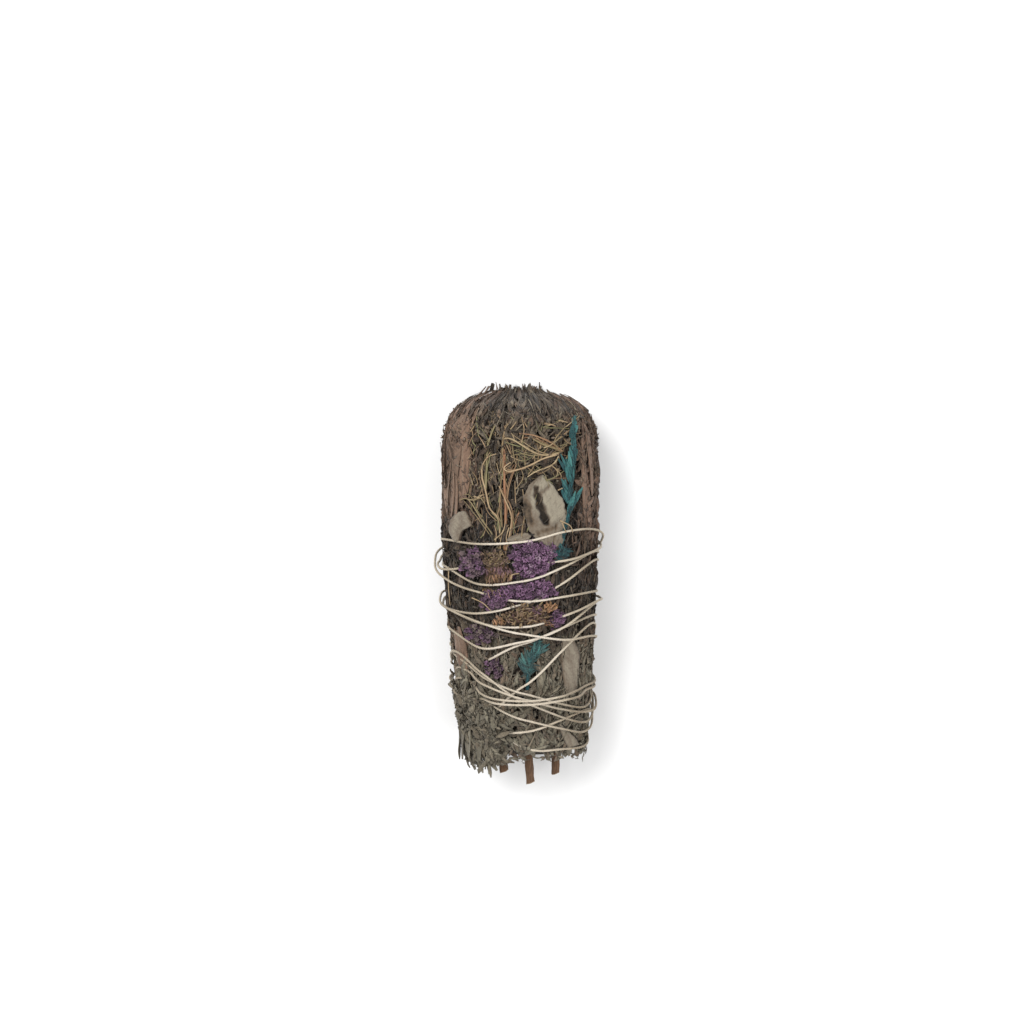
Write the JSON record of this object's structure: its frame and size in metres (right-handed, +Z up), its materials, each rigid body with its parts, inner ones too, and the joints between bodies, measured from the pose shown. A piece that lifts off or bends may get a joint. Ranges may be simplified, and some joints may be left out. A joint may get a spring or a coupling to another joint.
{
  "type": "sage smudge stick",
  "caption": "Dried herb bundle lying on its back: leafy sage round woody stems, dressed on the front with dried flowers, pale leaves and straws, and wound with cotton string.",
  "frame": {"origin": "middle of the bounding box's underside, on the surface the bundle lies on", "axes": "+Y along the bundle from its cut stems to its leafy top, +Z up out of the dressed front, +X to the viewer's right when the top points away"},
  "size_m": [0.0815, 0.1912, 0.0636],
  "materials": {
    "sage_leaf": "matte",
    "sage_stem": "matte",
    "pale_leaf": "matte",
    "statice_flower": "matte",
    "strawflower_flower": "matte",
    "larkspur_flower": "matte",
    "grass_straw": "matte",
    "cotton_string": "matte"
  },
  "bodies": {
    "root": {"cotton_string": "cotton_string", "pale_leaf_curled": "pale_leaf", "larkspur_upper": "larkspur_flower", "grass_straw_fan": "grass_straw", "grass_straw_bunch": "grass_straw", "grass_straw_loop": "grass_straw", "pale_leaf_left": "pale_leaf", "pale_leaf_upper": "pale_leaf", "pale_leaf_long": "pale_leaf", "pale_leaf_low": "pale_leaf", "strawflower_upper": "strawflower_flower", "strawflower_lower": "strawflower_flower", "larkspur_lower": "larkspur_flower", "statice_large": "statice_flower", "statice_middle": "statice_flower", "statice_left": "statice_flower", "statice_centre_left": "statice_flower", "statice_low_left": "statice_flower", "statice_right": "statice_flower", "statice_low": "statice_flower", "sage_sprig_front": "sage_leaf", "sprig_stem_front": "sage_stem", "sage_sprig_front_left": "sage_leaf", "sprig_stem_front_left": "sage_stem", "sage_sprig_back_left": "sage_leaf", "sprig_stem_back_left": "sage_stem", "sage_sprig_back": "sage_leaf", "sprig_stem_back": "sage_stem", "sage_sprig_back_right": "sage_leaf", "sprig_stem_back_right": "sage_stem", "sage_sprig_front_right": "sage_leaf", "sprig_stem_front_right": "sage_stem"}
  },
  "joints": []
}
